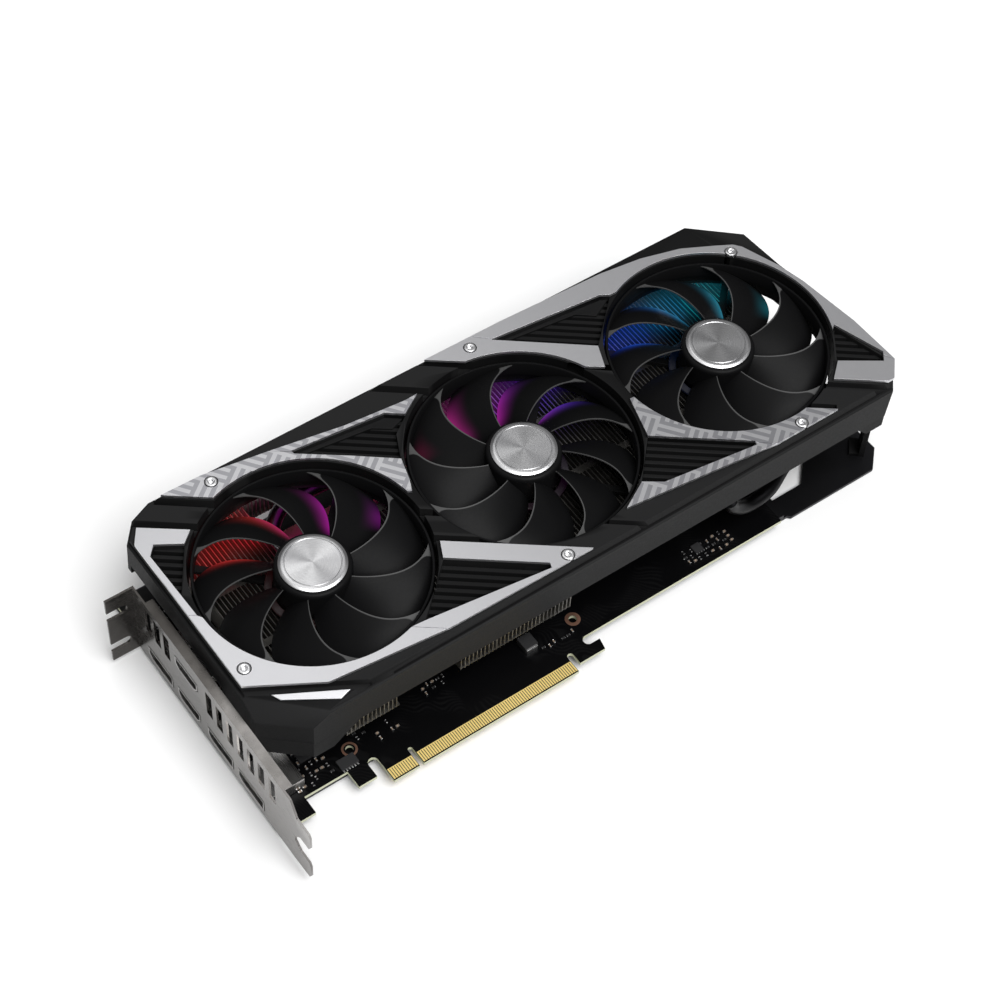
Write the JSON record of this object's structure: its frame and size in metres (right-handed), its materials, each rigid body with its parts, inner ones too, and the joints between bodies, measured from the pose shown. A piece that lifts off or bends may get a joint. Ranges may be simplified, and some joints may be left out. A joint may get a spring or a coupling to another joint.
{
  "type": "graphics card",
  "caption": "Long graphics card with faceted charcoal shroud, silver trim plates, ring-bladed fans, finned heatsink, edge connector and dual-slot bracket.",
  "frame": {"origin": "middle of the footprint, on the plane the backplate lies on", "axes": "+X from the bracket to the tail, +Y away from the edge connector, +Z from the backplate to the fans"},
  "size_m": [0.3122, 0.1486, 0.0537],
  "materials": {
    "board": "black solder mask on glass-fibre laminate, satin",
    "contact_gold": "bright hard gold plating",
    "bracket_nickel": "smooth nickel-plated sheet",
    "socket_shell": "drawn and plated shells",
    "chip": "moulded epoxy",
    "package": "chip carrier",
    "die": "polished silicon",
    "choke": "pressed ferrite",
    "copper": "machined copper",
    "fin": "thin folded sheet",
    "pipe": "nickel-plated tube, satin",
    "backplate": "black anodised sheet",
    "frame_plastic": "moulded, fine texture",
    "shroud": "moulded charcoal, fine satin texture",
    "accent": "light silver satin",
    "screw": "plated steel",
    "blade": "moulded, satin",
    "cap": "spun face with polished chamfer",
    "light": "milky light guide",
    "socket_plastic": "moulded nylon",
    "slider": "moulded nylon"
  },
  "bodies": {
    "card": {"circuit_board": "board", "contacts_front_short": "contact_gold", "contacts_front_long": "contact_gold", "contacts_rear_short": "contact_gold", "contacts_rear_long": "contact_gold", "io_bracket": "bracket_nickel", "display_port_1": "socket_shell", "display_port_2": "socket_shell", "display_port_3": "socket_shell", "hdmi_port_lower": "socket_shell", "hdmi_port_upper": "socket_shell", "gpu_package": "package", "gpu_die": "die", "memory_chip_1": "chip", "memory_chip_2": "chip", "memory_chip_3": "chip", "memory_chip_4": "chip", "power_choke_1": "choke", "power_choke_2": "choke", "power_choke_3": "choke", "cold_plate": "copper", "fin_stack_front": "fin", "fin_stack_rear": "fin", "heat_pipe_1": "pipe", "heat_pipe_2": "pipe", "heat_pipe_3": "pipe", "heat_pipe_4": "pipe", "heat_pipe_5": "pipe", "backplate": "backplate", "tail_post": "frame_plastic", "fan_motor_1": "frame_plastic", "fan_motor_2": "frame_plastic", "fan_motor_3": "frame_plastic", "fan_shroud": "shroud", "accent_plate_1": "accent", "accent_plate_2": "accent", "accent_plate_3": "accent", "accent_plate_4": "accent", "accent_plate_5": "accent", "corner_badge": "accent", "shroud_screw_1": "screw", "shroud_screw_2": "screw", "shroud_screw_3": "screw", "shroud_screw_4": "screw", "shroud_screw_5": "screw", "shroud_screw_6": "screw", "light_ring_1": "light", "light_ring_2": "light", "light_ring_3": "light", "power_socket_8pin": "socket_plastic", "power_socket_6pin": "socket_plastic", "switch_housing": "screw"},
    "fan_1": {"fan_rotor_1": "blade", "hub_cap_1": "cap"},
    "fan_2": {"fan_rotor_2": "blade", "hub_cap_2": "cap"},
    "fan_3": {"fan_rotor_3": "blade", "hub_cap_3": "cap"},
    "selector": {"switch_slider": "slider"}
  },
  "joints": [
    {"name": "fan_1_spin", "type": "hinge", "parent": "card", "child": "fan_1", "pos_m": [-0.0873, 0.01163, 0.0457], "axis": [0, 0, 1], "continuous": true},
    {"name": "fan_2_spin", "type": "hinge", "parent": "card", "child": "fan_2", "pos_m": [0.00825, 0.01163, 0.0457], "axis": [0, 0, 1], "continuous": true},
    {"name": "fan_3_spin", "type": "hinge", "parent": "card", "child": "fan_3", "pos_m": [0.10379, 0.01163, 0.0457], "axis": [0, 0, 1], "continuous": true},
    {"name": "selector_slide", "type": "slide", "parent": "card", "child": "selector", "axis": [1, 0, 0], "range_m": [0, 0.002]}
  ]
}
